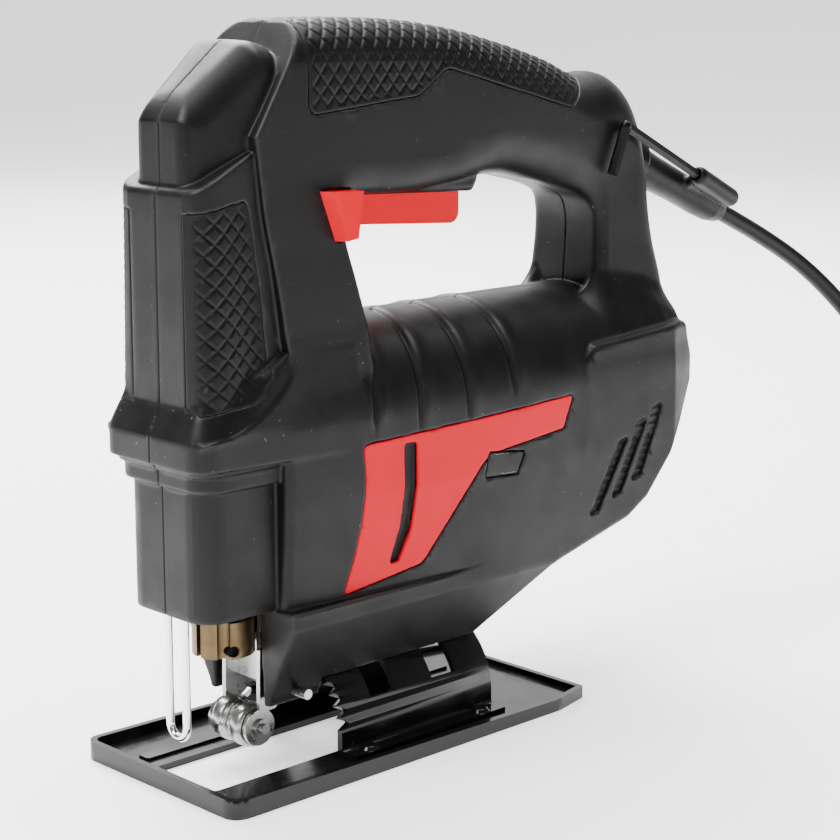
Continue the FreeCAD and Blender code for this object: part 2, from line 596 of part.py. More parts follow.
# ---- base, bevel bracket, blade guide --------------------------------------------------------------
def base_parts():
    half = BASE_WIDTH / 2
    plan = [(-BASE_LENGTH, 31.5, 1.5), (-130, half, 8), (0, half, 5)]
    tray = plan_form(plan, 0, 0, RIM_FRONT + 3)
    hollow = plan_form(plan, BASE_SHEET, BASE_SHEET, RIM_FRONT + 4)
    rim_slope = side_prism([(1, RIM_FRONT), (1, 20), (-150, 20), (-150, RIM_REAR)], -40, 40)
    window = plan_prism([(WINDOW[0], WINDOW[2], 4), (WINDOW[1], WINDOW[2], 2),
                         (WINDOW[1], WINDOW[3], 2), (WINDOW[0], WINDOW[3], 4)], -1, 3)
    ribs = [plan_prism([(-130, y0, 1), (-8, y0, 1), (-8, y1, 1), (-130, y1, 1)],
                       BASE_SHEET - 0.5, BASE_SHEET + 0.9)
            for y0, y1 in ((-19.5, -14.5), (29, 31.5))]
    plate = fuse([tray.cut(hollow).cut(rim_slope).cut(window)] + ribs)

    x0, x1 = ARCH_X
    foot_top = BASE_SHEET + ARCH_SHEET
    arch = sector(ARCH_R - ARCH_SHEET, ARCH_R, 90, x0, x1)
    flank = front_prism([(ARCH_R - ARCH_SHEET, TILT_Z), (ARCH_R, TILT_Z),
                         (ARCH_R, foot_top, 1), (28.5, foot_top), (28.5, BASE_SHEET),
                         (ARCH_R - ARCH_SHEET, BASE_SHEET, 1)], x0, x1)
    bracket = fuse([arch] + both_sides(flank))
    cuts = [sector(ARCH_R - ARCH_SHEET - 1, ARCH_R + 1, SLOT_HALF_ANGLE, a, b) for a, b in SLOT_X]
    for angle in (50, 60, 70, 80):
        for side in (1, -1):
            tooth = plan_prism([(x1 + 0.1, -1.7), (x1 + 0.1, 1.7), (x1 - 3.2, 0)],
                               TILT_Z + 19, TILT_Z + 24)
            tooth.rotate(V(0, 0, TILT_Z), X_AXIS, side * angle)
            cuts.append(tooth)
    bracket = bracket.cut(fuse(cuts))
    rivets = []
    for x in (-58.0, -104.0):
        for y in (-25.4, 25.4):
            shank = rod_z(x, y, 1.6, 0.3, foot_top)
            rivets.append(shank.fuse(turned([(0, 3.0), (1.1, 2.2, 0.6)], V(x, y, foot_top), Z_AXIS)))
    together = fuse(rivets)
    return {"base_plate": plate.cut(together), "bevel_bracket": bracket.cut(together),
            "bracket_rivets": Part.makeCompound(rivets)}


def base_clamp():
    inner, outer = 17.3, ARCH_R - ARCH_SHEET - GAP
    plate = sector(inner, outer, 28, SLOT_X[1][0] - 2, SLOT_X[0][1] + 2)
    screws = []
    for x0, x1 in SLOT_X:
        x = (x0 + x1) / 2
        head_top = TILT_Z + inner + 0.3
        head = rod_z(x, 0, 4.25, head_top - 5, head_top)
        socket = rod_z(x, 0, 2.0, head_top - 6, head_top - 2)
        screws.append(head.fuse(rod_z(x, 0, 2.45, head_top, 44)).cut(socket))
    for x0, x1 in SLOT_X:
        x = (x0 + x1) / 2
        plate = plate.cut(rod_z(x, 0, 2.5, 20, 40)).cut(rod_z(x, 0, 4.4, 20, head_top))
    return {"base_clamp_plate": plate, "base_clamp_screws": Part.makeCompound(screws)}


def guide_parts():
    x, z = ROLLER_X, ROLLER_Z
    r = ROLLER_R
    roller = turned([(0, r - 0.8, 0.4), (0.8, r), (4.2, r), (5.0, r - 1.0), (5.6, r - 1.0),
                     (6.0, r - 0.2), (6.9, r - 2.0), (7.3, r - 0.2), (7.7, r - 1.0),
                     (8.3, r - 1.0), (9.1, r), (12.4, r), (13.2, r - 0.8, 0.4)],
                    V(x, -6.6, z), Y_AXIS)
    roller = roller.cut(rod_y(x, z, 1.8 + FIT, -8, 8))
    axle = rod_y(x, z, 1.8, -9.6, 9.6)
    axle = fuse([axle, rod_y(x, z, 2.6, 8.55, 9.7), rod_y(x, z, 2.6, -9.7, -8.55),
                 rod_y(x, z, 1.5, 9.6, 11.2)])
    arms = []
    for y0, y1 in (FORK_Y, (-FORK_Y[1], -FORK_Y[0])):
        arm = side_prism([(-31.8, 50.4), (-36.0, 50.4), (-38.2, 30), (-42.2, 25.5, 2),
                          (-41.6, 20.6, 2), (-36.6, 17), (-31, 17), (-31.2, 30)], y0, y1)
        arms.append(fuse([arm, rod_y(x, z, 5.4, y0, y1)]))
    web = box(-37.4, -35.9, -FORK_Y[0] - 0.2, 1.5, 24, 38)
    holes = [rod_y(x, z, 1.8, -10, 10), rod_y(PIN_X, PIN_Z, 1.5, -20, 20)]
    bridge = box(-35.8, -32.2, -FORK_Y[0] - 0.1, FORK_Y[0] + 0.1, 48.9, 50.4)
    fork = fuse(arms + [web, bridge]).cut(fuse(holes + [rod_z(PLUNGER_X, 0, CLAMP_R + GAP, 17, 60)]))
    pin = rod_y(PIN_X, PIN_Z, 1.5, -18.5, 20.5)
    wx, leg_y = GUARD_WIRE_X, GUARD_WIRE_Y
    top, bottom = 57.0, 16.8
    path = Part.Wire([Part.LineSegment(V(wx, leg_y, top), V(wx, leg_y, bottom)).toShape(),
                      Part.Arc(V(wx, leg_y, bottom), V(wx, 0, bottom - leg_y),
                               V(wx, -leg_y, bottom)).toShape(),
                      Part.LineSegment(V(wx, -leg_y, bottom), V(wx, -leg_y, top)).toShape()])
    section = Part.Wire(Part.makeCircle(1.2, V(wx, leg_y, top), V(0, 0, -1)))
    hairpin = path.makePipeShell([section], True, False)
    return {"guide_roller": roller, "roller_axle": axle, "roller_fork": fork, "skirt_pin": pin,
            "wire_guard": hairpin}


# ---- mains lead ------------------------------------------------------------------------------------
def lead_route():
    """Chosen by hand: out of the guard, down under its own weight, then into the coil."""
    return [guard_point(GUARD_LENGTH), guard_point(GUARD_LENGTH + 33), V(-304, 4, 115),
            V(-328, 9, 92), V(-350, 12, 64), V(-370, 13, 38), V(-385, 17, 16),
            V(-392.5, 27, 6), V(-394, 40, FLOOR_CORD_Z)]


def plug_route():
    """Off the coil's top turn and up into the plug, which lies on the coil."""
    return [COIL_CENTRE + V(-36.6, -13.3, 16.2), COIL_CENTRE + V(-38.8, -4.1, 17.2),
            COIL_CENTRE + V(-38, 7, 20), COIL_CENTRE + V(-31.5, 16.5, 24.5),
            COIL_CENTRE + V(-22, 20, 27), COIL_CENTRE + V(-12, 20, PLUG_Z)]


def tube(points, radius):
    """Round tube along straight runs joined by tangent arcs; prints the arcs' radii."""
    edges, here, radii, length = [], points[0], [], 0
    for before, corner, after in zip(points, points[1:], points[2:]):
        back, ahead = (before - corner), (after - corner)
        shorter = min(back.Length, ahead.Length)
        back.normalize()
        ahead.normalize()
        half_turn = (math.pi - back.getAngle(ahead)) / 2
        reach = 0.45 * shorter
        bend = reach / math.tan(half_turn)
        start, finish = corner + back * reach, corner + ahead * reach
        centre = corner + (back + ahead).normalize() * (bend / math.cos(half_turn))
        middle = centre + (corner - centre).normalize() * bend
        edges += [Part.LineSegment(here, start).toShape(), Part.Arc(start, middle, finish).toShape()]
        here = finish
        radii.append(round(bend, 1))
    edges.append(Part.LineSegment(here, points[-1]).toShape())
    path = Part.Wire(edges)
    section = Part.Wire(Part.makeCircle(radius, points[0], points[1] - points[0]))
    solid = path.makePipeShell([section], True, False)
    length = path.Length
    print("lead radii", radii, "length", round(length, 1),
          "volume ratio", round(solid.Volume / (math.pi * radius ** 2 * length), 4))
    return solid


def lead_parts():
    c, (z0, z1) = COIL_CENTRE, COIL_Z
    r0, r1 = COIL_TURN_R[0] - CORD_R - 0.2, COIL_TURN_R[1] + CORD_R + 0.2
    coil = turned([(z0, r1, 2.5), (z1, r1, 2.5)], c, Z_AXIS).cut(
        turned([(z0 - 1, r0), (z1 + 1, r0)], c, Z_AXIS))
    tie = box(c.x + 12, c.x + 20, c.y - r1 - 1.4, c.y - r0 + 6, 0, z1 + 1.2)
    tie = tie.cut(box(c.x + 11, c.x + 21, c.y - r1 - 0.2, c.y - r0 + 4.8, 1.2, z1)).cut(coil)
    plug_lead = tube(plug_route(), CORD_R)
    relief = turned([(0, CORD_R + 0.6), (26, 5.2)], plug_route()[-1], X_AXIS)
    cord = tube(lead_route(), CORD_R)
    coil = coil.cut(fuse([cord, plug_lead]))
    body = plan_prism([(PLUG_X[0], PLUG_Y - 9, 6), (PLUG_X[1], PLUG_Y - 17.5, 4),
                       (PLUG_X[1], PLUG_Y + 17.5, 4), (PLUG_X[0], PLUG_Y + 9, 6)],
                      PLUG_Z - 7, PLUG_Z + 7)
    pins = [rod_x(PLUG_Y + side * 9.5, PLUG_Z, 2.0, PLUG_X[1], PLUG_X[1] + 19) for side in (-1, 1)]
    return {"power_cord": cord, "cord_coil": coil, "cord_tie": tie,
            "plug_lead": plug_lead, "plug_body": relief.fuse(body),
            "plug_pins": Part.makeCompound(pins)}


CORD_NODES = ("power_cord", "cord_coil", "cord_tie", "plug_lead", "plug_body", "plug_pins")


def build():
    nodes = housing_shells()
    nodes.update(inlays())
    nodes["housing_screws"] = housing_screws()
    nodes.update(handle_parts())
    nodes["cord_guard"] = cord_guard()
    nodes["hex_key"] = hex_key()
    nodes.update(motor_parts())
    nodes.update(drive_parts())
    nodes.update(plunger_parts())
    nodes.update(base_parts())
    nodes.update(base_clamp())
    nodes.update(guide_parts())
    nodes.update(lead_parts())
    return nodes


def write(nodes):
    """Centre the tool over the origin, without its loose lead, and write one STEP per node."""
    os.makedirs("parts", exist_ok=True)
    boxes = [shape.BoundBox for name, shape in nodes.items() if name not in CORD_NODES]
    middle = (min(b.XMin for b in boxes) + max(b.XMax for b in boxes)) / 2
    print("origin is at", round(middle, 3), "behind the base's front edge;", len(nodes), "nodes")
    for name, shape in nodes.items():
        shape.translate(V(-middle, 0, 0))
        shape.exportStep("parts/" + name + ".step")


write(build())
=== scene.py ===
"""Looks of a corded jigsaw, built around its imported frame."""
import json
import math

import bpy
import numpy as np
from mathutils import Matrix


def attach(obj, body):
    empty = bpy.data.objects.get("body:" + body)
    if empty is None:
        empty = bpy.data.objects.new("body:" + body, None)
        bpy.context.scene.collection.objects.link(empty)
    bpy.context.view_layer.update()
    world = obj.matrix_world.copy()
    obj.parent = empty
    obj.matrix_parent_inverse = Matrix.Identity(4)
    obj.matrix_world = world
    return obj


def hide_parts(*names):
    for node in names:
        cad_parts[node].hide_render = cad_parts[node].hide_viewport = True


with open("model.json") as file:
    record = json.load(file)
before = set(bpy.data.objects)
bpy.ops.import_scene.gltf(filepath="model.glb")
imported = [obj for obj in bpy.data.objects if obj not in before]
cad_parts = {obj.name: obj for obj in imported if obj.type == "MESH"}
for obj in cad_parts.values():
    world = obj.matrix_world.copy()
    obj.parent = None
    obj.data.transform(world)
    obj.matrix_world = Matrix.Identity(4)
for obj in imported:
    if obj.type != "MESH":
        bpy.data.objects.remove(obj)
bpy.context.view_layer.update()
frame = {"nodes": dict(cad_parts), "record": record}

import openvdb as vdb
from mathutils import Vector

MM = 0.001
SHIFT = 124.119         # the row frame's origin lies this far behind the base's front edge, mm
FINE = 1.0


def place(x, y, z):
    """Millimetres behind the base's front edge, left of the middle and above the sole."""
    return Vector(((x + SHIFT) * MM, y * MM, z * MM))


# ---- camera, floor and light ---------------------------------------------------------------
CAMERA = (335.99, 453.85, 221.83)
CAMERA_AZIMUTH, CAMERA_DROP = math.radians(45.947), math.radians(11.70)
LENS = 90.4


def add_camera():
    data = bpy.data.cameras.new("camera")
    data.lens = LENS
    data.sensor_width = 36.0
    data.clip_start, data.clip_end = 0.05, 20.0
    camera = bpy.data.objects.new("camera", data)
    bpy.context.collection.objects.link(camera)
    camera.location = place(*CAMERA)
    look = Vector((-math.cos(CAMERA_AZIMUTH) * math.cos(CAMERA_DROP),
                   -math.sin(CAMERA_AZIMUTH) * math.cos(CAMERA_DROP), -math.sin(CAMERA_DROP)))
    camera.rotation_euler = look.to_track_quat("-Z", "Y").to_euler()
    bpy.context.scene.camera = camera


def add_area(name, location, target, size, power):
    data = bpy.data.lights.new(name, "AREA")
    data.shape, data.size, data.energy = "SQUARE", size, power
    light = bpy.data.objects.new(name, data)
    bpy.context.collection.objects.link(light)
    light.location = location
    direction = Vector(target) - Vector(location)
    light.rotation_euler = direction.to_track_quat("-Z", "Y").to_euler()


def add_studio():
    mesh = bpy.data.meshes.new("floor")
    profile = [(-1.4, 0), (2.0, 0)] + [(2.0 + 1.2 * math.sin(math.radians(a)),
                                        1.2 - 1.2 * math.cos(math.radians(a)))
                                       for a in range(9, 91, 9)] + [(3.2, 4.5)]
    away = (-math.cos(CAMERA_AZIMUTH), -math.sin(CAMERA_AZIMUTH))
    corners = [(away[0] * run - away[1] * side, away[1] * run + away[0] * side, rise)
               for run, rise in profile for side in (-2.6, 2.6)]
    mesh.from_pydata(corners, [], [(i, i + 1, i + 3, i + 2)
                                   for i in range(0, len(corners) - 2, 2)])
    floor = bpy.data.objects.new("floor", mesh)
    bpy.context.collection.objects.link(floor)
    paint = bpy.data.materials.new("floor_paper")
    paint.use_nodes = True
    shader = paint.node_tree.nodes["Principled BSDF"]
    shader.inputs["Base Color"].default_value = (0.9, 0.9, 0.9, 1)
    shader.inputs["Roughness"].default_value = 0.9
    shader.inputs["Emission Color"].default_value = (1, 1, 1, 1)
    shader.inputs["Emission Strength"].default_value = 0.85
    mesh.materials.append(paint)

    world = bpy.data.worlds.new("studio")
    bpy.context.scene.world = world
    world.use_nodes = True
    sky = world.node_tree.nodes["Background"]
    sky.inputs["Color"].default_value = (1, 1, 1, 1)
    sky.inputs["Strength"].default_value = 0.22
    aim = (0.0, 0.0, 0.1)
    add_area("front_high", (1.0, -0.15, 1.25), aim, 0.7, 34)
    add_area("back_high", (-0.35, -1.05, 1.25), aim, 1.1, 75)
    add_area("top", (-0.3, 0.0, 1.5), aim, 1.0, 34)
    add_area("fill", (0.5, 1.4, 0.35), aim, 0.9, 2)


add_camera()
add_studio()


# ---- materials -----------------------------------------------------------------------------
def new_material(name, **sockets):
    material = bpy.data.materials.new(name)
    material.use_nodes = True
    shader = material.node_tree.nodes["Principled BSDF"]
    for key, value in sockets.items():
        shader.inputs[key.replace("_", " ").title().replace("Ior", "IOR")].default_value = value
    return material, material.node_tree, shader


def add_node(tree, kind, **inputs):
    node = tree.nodes.new(kind)
    for key, value in inputs.items():
        node.inputs[key].default_value = value
    return node


def noise(tree, scale, detail=3.0, rough=0.5, stretch=(1, 1, 1)):
    """Noise in object space; scale is features per metre."""
    place_node = tree.nodes.new("ShaderNodeTexCoord")
    mapping = add_node(tree, "ShaderNodeMapping", Scale=stretch)
    tree.links.new(place_node.outputs["Object"], mapping.inputs["Vector"])
    texture = add_node(tree, "ShaderNodeTexNoise", Scale=scale, Detail=detail, Roughness=rough)
    tree.links.new(mapping.outputs["Vector"], texture.inputs["Vector"])
    return texture.outputs["Fac"]


def ramp(tree, value, stops):
    node = tree.nodes.new("ShaderNodeValToRGB")
    elements = node.color_ramp.elements
    while len(elements) < len(stops):
        elements.new(0.5)
    for element, (position, colour) in zip(elements, stops):
        element.position = position
        element.color = tuple(colour) + (1,)
    tree.links.new(value, node.inputs["Fac"])
    return node.outputs["Color"]


def mix(tree, amount, a, b):
    node = tree.nodes.new("ShaderNodeMix")
    node.data_type = "RGBA"
    for socket, value in ((node.inputs["Factor"], amount), (node.inputs[6], a),
                          (node.inputs[7], b)):
        if isinstance(value, bpy.types.NodeSocket):
            tree.links.new(value, socket)
        elif isinstance(value, (tuple, list)):
            socket.default_value = tuple(value) + (1,)
        else:
            socket.default_value = value
    return node.outputs[2]


def bump(tree, shader, height, distance, strength):
    node = add_node(tree, "ShaderNodeBump", Strength=strength, Distance=distance)
    tree.links.new(height, node.inputs["Height"])
    tree.links.new(node.outputs["Normal"], shader.inputs["Normal"])


def grey(value):
    return (value, value, value)


def painted_edge_highlight(tree, low, high):
    """Mask of the painted edge highlight: 1 on convex edges, 0 elsewhere."""
    geometry = tree.nodes.new("ShaderNodeNewGeometry")
    return ramp(tree, geometry.outputs["Pointiness"], [(low, grey(0)), (high, grey(1))])


def moulded(name, dark, light, rough, specks=0.0, grain=0.00005, edge=None, coat=0.0,
            gleam=0.22):
    """Spark-eroded moulded plastic: mottled colour, fine grain, a painted highlight on convex edges, a
    little dust.
    """
    material, tree, shader = new_material(name, roughness=rough, coat_weight=coat,
                                          specular_ior_level=gleam)
    shader.inputs["Coat Roughness"].default_value = 0.25
    tone = mix(tree, noise(tree, 55, 4, 0.6), dark, light)
    # edge: a paler colour painted on convex edges as a highlight
    if edge is not None:
        tone = mix(tree, painted_edge_highlight(tree, 0.515, 0.56), tone, edge)
    if specks:
        dust = ramp(tree, noise(tree, 620, 1.0, 0.4), [(0.765, grey(0)), (0.80, grey(1))])
        patch = ramp(tree, noise(tree, 30, 2.0, 0.5), [(0.45, grey(0.15)), (0.7, grey(1))])
        tone = mix(tree, mix(tree, dust, grey(0), patch), tone, grey(specks))
    tree.links.new(tone, shader.inputs["Base Color"])
    gloss = ramp(tree, noise(tree, 90, 3), [(0.3, grey(rough - 0.07)), (0.7, grey(rough + 0.07))])
    tree.links.new(gloss, shader.inputs["Roughness"])
    bump(tree, shader, noise(tree, 1500, 3, 0.6), grain, 0.6)
    return material


def metal(name, dark, light, rough, streak=(1, 1, 1), scale=300, grain=0.00003, blotch=40,
          coat=0.0, metallic=1.0, gleam=0.5):
    material, tree, shader = new_material(name, metallic=metallic, roughness=rough,
                                          coat_weight=coat, specular_ior_level=gleam)
    shader.inputs["Coat Roughness"].default_value = 0.08
    tone = mix(tree, noise(tree, blotch, 4, 0.6), dark, light)
    tree.links.new(tone, shader.inputs["Base Color"])
    gloss = ramp(tree, noise(tree, scale, 4, 0.6, streak),
                 [(0.3, grey(max(rough - 0.1, 0.03))), (0.7, grey(rough + 0.1))])
    tree.links.new(gloss, shader.inputs["Roughness"])
    bump(tree, shader, noise(tree, scale * 2, 3, 0.6, streak), grain, 0.5)
    return material


# edge= on HOUSING and GRIP is the colour of the painted highlight on convex edges
HOUSING = moulded("housing_plastic", grey(0.0016), grey(0.0032), 0.44, specks=0.10,
                  grain=0.00008, edge=grey(0.02), gleam=0.22)
GRIP = moulded("soft_grip", grey(0.0012), grey(0.0026), 0.5, grain=0.00003, edge=grey(0.012),
               gleam=0.18)
RED = moulded("accent_red", (0.62, 0.0, 0.008), (0.68, 0.0, 0.012), 0.36, grain=0.00004,
              gleam=0.08)
RED_FLAT = moulded("accent_panel_red", (0.60, 0.0, 0.012), (0.66, 0.002, 0.018), 0.48,
                   gleam=0.12)
INNER = moulded("inner_black", grey(0.003), grey(0.006), 0.5)
LABEL = moulded("label_black", grey(0.002), grey(0.004), 0.35)
RIM = moulded("label_rim", grey(0.16), grey(0.22), 0.5)
RUBBER = moulded("lead_rubber", grey(0.002), grey(0.004), 0.42, grain=0.00004, gleam=0.16)
NYLON = moulded("gear_nylon", (0.72, 0.70, 0.62), (0.8, 0.78, 0.7), 0.45)
CARBON = moulded("carbon", grey(0.02), grey(0.035), 0.6)
ZINC = metal("zinc_steel", (0.33, 0.34, 0.34), (0.52, 0.52, 0.50), 0.3, scale=200, blotch=120)
BLACKED = metal("blackened_steel", grey(0.008), grey(0.016), 0.4, blotch=90)
SPRING = metal("spring_steel", grey(0.45), grey(0.6), 0.25)
GROUND = metal("ground_steel", grey(0.55), grey(0.66), 0.16, streak=(1, 1, 12), scale=250)
LAMINATION = metal("lamination_steel", grey(0.2), grey(0.3), 0.42, streak=(18, 1, 1), scale=250)
COPPER = metal("copper_winding", (0.62, 0.23, 0.09), (0.75, 0.32, 0.14), 0.3,
               streak=(1, 14, 14), scale=220, grain=0.00012)
BRASS = metal("brass", (0.62, 0.45, 0.2), (0.72, 0.54, 0.27), 0.28)
CAST = metal("cast_aluminium", grey(0.42), grey(0.55), 0.5, grain=0.00008)
BRONZE = metal("clamp_bronze", (0.085, 0.058, 0.03), (0.2, 0.14, 0.075), 0.45, scale=420,
               streak=(1, 1, 0.35), grain=0.00016, blotch=260)
ENAMEL = metal("gloss_black_enamel", grey(0.003), grey(0.006), 0.2, scale=60, grain=0.00006,
               metallic=0.0, coat=0.1, gleam=0.3)
WIRE = metal("bright_wire", grey(0.86), grey(0.94), 0.18)
PIN = metal("pin_nickel", (0.62, 0.6, 0.55), (0.72, 0.7, 0.66), 0.2)

SLOT_MATERIALS = {
    "housing_plastic": HOUSING, "accent_plastic": RED, "label_plate": LABEL, "soft_grip": GRIP,
    "inner_plastic": INNER, "lead_rubber": RUBBER, "zinc_steel": ZINC, "key_steel": BLACKED,
    "spring_steel": SPRING, "ground_steel": GROUND, "lamination_steel": LAMINATION,
    "copper_winding": COPPER, "carbon": CARBON, "brass": BRASS, "cast_aluminium": CAST,
    "gear_plastic": NYLON, "clamp_bronze": BRONZE, "gloss_black_steel": ENAMEL,
    "bright_wire": WIRE, "pin_brass": PIN,
}


def dress_cad_nodes():
    slots = {entry["node"]: entry["material_slot"] for entry in frame["record"]["subparts"]}
    for name, node in frame["nodes"].items():
        for material_slot in node.material_slots:
            material_slot.material = SLOT_MATERIALS[slots[name]]


dress_cad_nodes()


# ---- mains lead ------------------------------------------------------------------------------
GUARD_START, GUARD_SLOPE, GUARD_LENGTH = (-196.0, 165.7), math.radians(22.5), 55.0
CORD_DIAMETER = 0.006
COIL_X, COIL_Y = -355.0, 40.0
# off the coil's top turn and up into the plug, measured from the coil's middle
PLUG_RUN = ((-38.9, -4.1, 17.2), (-38, 7, 20), (-31.5, 16.5, 24.5), (-22, 20, 27),
            (-12, 20, 27.5), (-4, 20, 27.5))
# (turns from the start, radius, height): each turn lies beside or on the one before it
COIL_LAY = ((0.0, 39, 4.2), (0.9, 39, 4.2), (1.1, 33, 4.2), (1.9, 33, 4.2), (2.1, 27, 4.2),
            (2.9, 27, 4.2), (3.1, 27, 10.2), (3.9, 27, 10.2), (4.1, 33, 10.2),
            (4.9, 33, 10.2), (5.1, 39, 10.2), (5.85, 39, 10.2), (6.1, 33, 16.2),
            (6.85, 33, 16.2), (7.1, 39, 16.2), (7.95, 39, 16.2))
COIL_START_ANGLE = 186.0
POINTS_PER_TURN = 16


def guard_point(distance):
    return (GUARD_START[0] - math.cos(GUARD_SLOPE) * distance, 0.0,
            GUARD_START[1] - math.sin(GUARD_SLOPE) * distance)


def lead_points():
    route = [guard_point(GUARD_LENGTH), guard_point(GUARD_LENGTH + 33), (-304, 4, 115),
             (-328, 9, 92), (-350, 12, 64), (-370, 13, 38), (-385, 17, 16), (-392.5, 27, 6)]
    turns, radii, heights = zip(*COIL_LAY)
    count = int(turns[-1] * POINTS_PER_TURN)
    for i in range(count + 1):
        turn = turns[-1] * i / count
        angle = math.radians(COIL_START_ANGLE - 360 * turn)
        radius = np.interp(turn, turns, radii) / math.cos(math.pi / POINTS_PER_TURN) ** 0.5
        route.append((COIL_X + radius * math.cos(angle), COIL_Y + radius * math.sin(angle),
                      float(np.interp(turn, turns, heights))))
    return route + [(COIL_X + x, COIL_Y + y, z) for x, y, z in PLUG_RUN]


def add_lead():
    points = [place(*p) for p in lead_points()]
    curve = bpy.data.curves.new("mains_lead", "CURVE")
    curve.dimensions = "3D"
    curve.bevel_depth = CORD_DIAMETER / 2
    curve.bevel_resolution = 5
    curve.resolution_u = 8
    curve.use_fill_caps = True
    spline = curve.splines.new("NURBS")
    spline.points.add(len(points) - 1)
    for point, position in zip(spline.points, points):
        point.co = (*position, 1)
    spline.use_endpoint_u = True
    spline.order_u = 3
    lead = bpy.data.objects.new("mains_lead", curve)
    bpy.context.collection.objects.link(lead)
    curve.materials.append(RUBBER)
    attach(lead, "housing")
    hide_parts("power_cord", "cord_coil", "plug_lead")


add_lead()


# ---- signed distance fields, in millimetres ----------------------------------------------------
class Cells:
    """A block of sample points: x, y and z broadcast together; y is taken on the left side."""

    def __init__(self, low, high, step):
        self.step, self.low = step, low
        spans = [np.arange(a, b + step, step, dtype=np.float32) for a, b in zip(low, high)]
        self.x = spans[0][:, None, None]
        self.y = spans[1][None, :, None]
        self.z = spans[2][None, None, :]


def polygon(corners, u, v):
    """Signed distance to a closed outline in a plane, negative inside."""
    u, v = np.broadcast_arrays(u, v)
    nearest = np.full(u.shape, 1e9, np.float32)
    inside = np.zeros(u.shape, bool)
    for (u0, v0), (u1, v1) in zip(corners, corners[1:] + corners[:1]):
        du, dv = u1 - u0, v1 - v0
        t = np.clip(((u - u0) * du + (v - v0) * dv) / (du * du + dv * dv), 0, 1)
        nearest = np.minimum(nearest, (u - u0 - t * du) ** 2 + (v - v0 - t * dv) ** 2)
        if v0 != v1:
            crosses = (v0 > v) != (v1 > v)
            inside ^= crosses & (u < (v - v0) / dv * du + u0)
    return np.where(inside, -np.sqrt(nearest), np.sqrt(nearest)).astype(np.float32)


def spline_outline(points, closed=True, parts=6):
    """Catmull-Rom curve through the points; a point given as (u, v, 0) stays a sharp corner."""
    count = len(points)
    result = []
    for i in range(count if closed else count - 1):
        p1, p2 = points[i], points[(i + 1) % count]
        p0 = points[i - 1] if closed or i else p1
        p3 = points[(i + 2) % count] if closed or i + 2 < count else p2
        p0 = p1 if len(p1) == 3 else p0
        p3 = p2 if len(p2) == 3 else p3
        for k in range(parts):
            t = k / parts
            weights = (-0.5 * t + t * t - 0.5 * t ** 3, 1 - 2.5 * t * t + 1.5 * t ** 3,
                       0.5 * t + 2 * t * t - 1.5 * t ** 3, -0.5 * t * t + 0.5 * t ** 3)
            result.append(tuple(sum(w * p[a] for w, p in zip(weights, (p0, p1, p2, p3)))
                                for a in (0, 1)))
    if not closed:
        result.append(tuple(points[-1][:2]))
    return result


def both(a, b, radius=0.0):
    """Intersection whose convex edge is rounded."""
    if np.isscalar(radius) and radius == 0:
        return np.maximum(a, b)
    return np.minimum(np.maximum(a, b), -radius) + np.hypot(np.maximum(a + radius, 0),
                                                            np.maximum(b + radius, 0))


def either(a, b, radius=0.0):
    """Union whose inner corner is filled."""
    if np.isscalar(radius) and radius == 0:
        return np.minimum(a, b)
    return -both(-a, -b, radius)


def without(a, b, radius=0.0):
    return both(a, -b, radius)


def ramp_between(value, low, high):
    t = np.clip((value - low) / (high - low), 0, 1)
    return t * t * (3 - 2 * t)


def block(cells, x0, x1, y1, z0, z1, radius=0.0):
    side = both(np.abs(cells.x - (x0 + x1) / 2) - (x1 - x0) / 2,
                np.abs(cells.z - (z0 + z1) / 2) - (z1 - z0) / 2, radius)
    return both(side, cells.y - y1, radius)


# ---- outer form of the housing ------------------------------------------------------------
HANDLE_OUTER = [(-2, 160, 0), (-2, 210.5, 0), (-30, 212.0), (-48, 212.5), (-62, 212.7),
                (-84, 212.0), (-102, 210.0), (-118, 207.4), (-136, 203.4), (-151, 199.2),
                (-160, 195.8), (-167, 194.0), (-174, 194.6), (-181, 193.4), (-188, 189.0),
                (-193, 182.5), (-196, 174), (-196.8, 164), (-196.8, 152), (-199, 140),
                (-202.3, 128), (-203.5, 118), (-203, 100, 0), (-2, 100, 0)]
FINGER_GAP = [(-64.5, 127, 0), (-61, 140), (-57.6, 152), (-57.6, 158.5), (-61, 163.4),
              (-84, 163.4), (-104, 165.0), (-120.5, 165.4), (-133, 164.2), (-148, 161.2), (-158, 158.6),
              (-164.6, 155.6), (-167.5, 151), (-168, 144), (-167.3, 132), (-166.5, 112, 0),
              (-66, 112, 0)]
VISOR = [(-43.5, 213.2, 0), (-24.5, 181.5, 0), (-25.6, 172), (-27.4, 158), (-29.4, 148), (-31, 138),
         (-32.6, 126), (-33.4, 119.5), (-32.2, 115.5), (-27.5, 111), (-19, 105.8), (-9, 102.4),
         (6, 101.4, 0), (6, 232, 0), (-43.5, 232, 0)]
BODY_SIDE = [(-30, 44), (-30, 132), (-172, 132), (-200, 117), (-204.5, 103), (-204.5, 94),
             (-190, 71), (-180, 58.5), (-171, 53), (-137, 44)]
BODY_HALF = ((-204.5, 24.0), (-190, 29.0), (-120, 29.0), (-105, 28.6), (-62, 25.8), (-30, 23.5))
BODY_AXIS_Z = 99.0
RINGS = (((-60.8, 99), (-62.5, 112), (-66.5, 128)), ((-77.6, 97), (-78.6, 112), (-82, 128)),
         ((-96.4, 97), (-96.6, 112), (-98.5, 128)), ((-115, 103), (-115.4, 114), (-117, 128)))


def mirrored(half):
    return half + [(u, -v) for u, v in reversed(half)]


